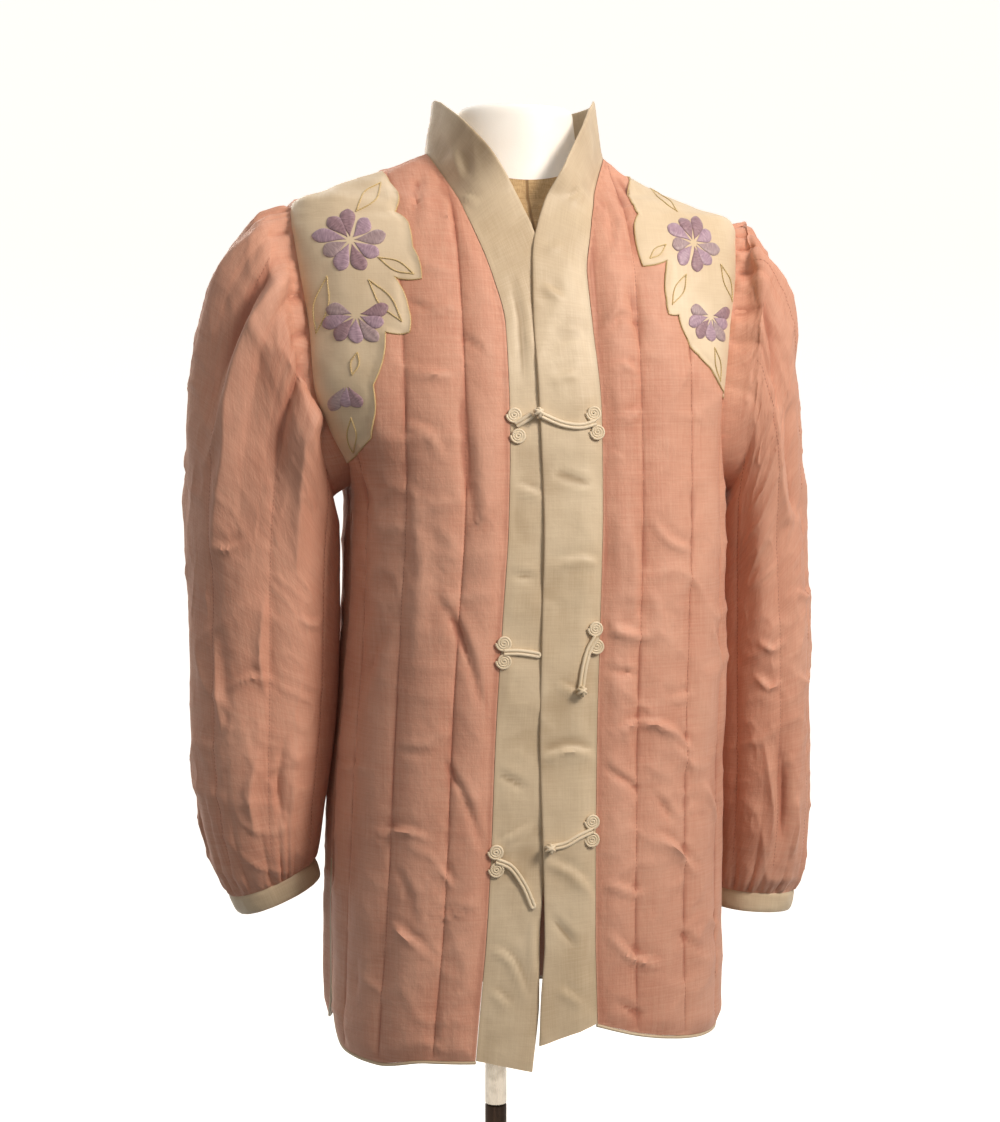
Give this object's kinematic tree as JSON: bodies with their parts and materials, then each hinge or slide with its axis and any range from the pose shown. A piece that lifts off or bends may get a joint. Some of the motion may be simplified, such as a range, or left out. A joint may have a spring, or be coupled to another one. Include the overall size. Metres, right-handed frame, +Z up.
{
  "type": "quilted bed jacket on a dress form",
  "caption": "Long-sleeved quilted bed jacket with satin bands, shoulder appliques and frog closures, worn by a limbless dress form on a round-based pole stand.",
  "frame": {"origin": "centre of the stand's base, on its underside, where the pole's axis meets the floor", "axes": "+Z up, -Y the jacket's front, +X the wearer's left"},
  "size_m": [0.5582, 0.33, 1.4342],
  "materials": {
    "quilted_cloth": "soft salmon-pink quilted cloth with a slight sheen",
    "satin": "cream satin",
    "form_cover": "plain woven linen cover",
    "neck_cap": "smooth white",
    "bright_steel": "bright",
    "dark_metal": "dark bronze-black, semi-gloss"
  },
  "bodies": {
    "root": {"front_right": "quilted_cloth", "front_left": "quilted_cloth", "back": "quilted_cloth", "sleeve_right": "quilted_cloth", "sleeve_left": "quilted_cloth", "applique_right": "satin", "applique_left": "satin", "cuff_right": "satin", "cuff_left": "satin", "band_right": "satin", "band_left": "satin", "piping_front_right": "satin", "piping_front_left": "satin", "piping_back": "satin", "frog_top_right": "satin", "frog_top_left": "satin", "frog_middle_right": "satin", "frog_middle_left": "satin", "frog_bottom_right": "satin", "frog_bottom_left": "satin", "form_torso": "form_cover", "form_neck": "neck_cap", "pole_upper": "bright_steel", "pole_lower": "dark_metal", "base": "dark_metal"}
  },
  "joints": []
}
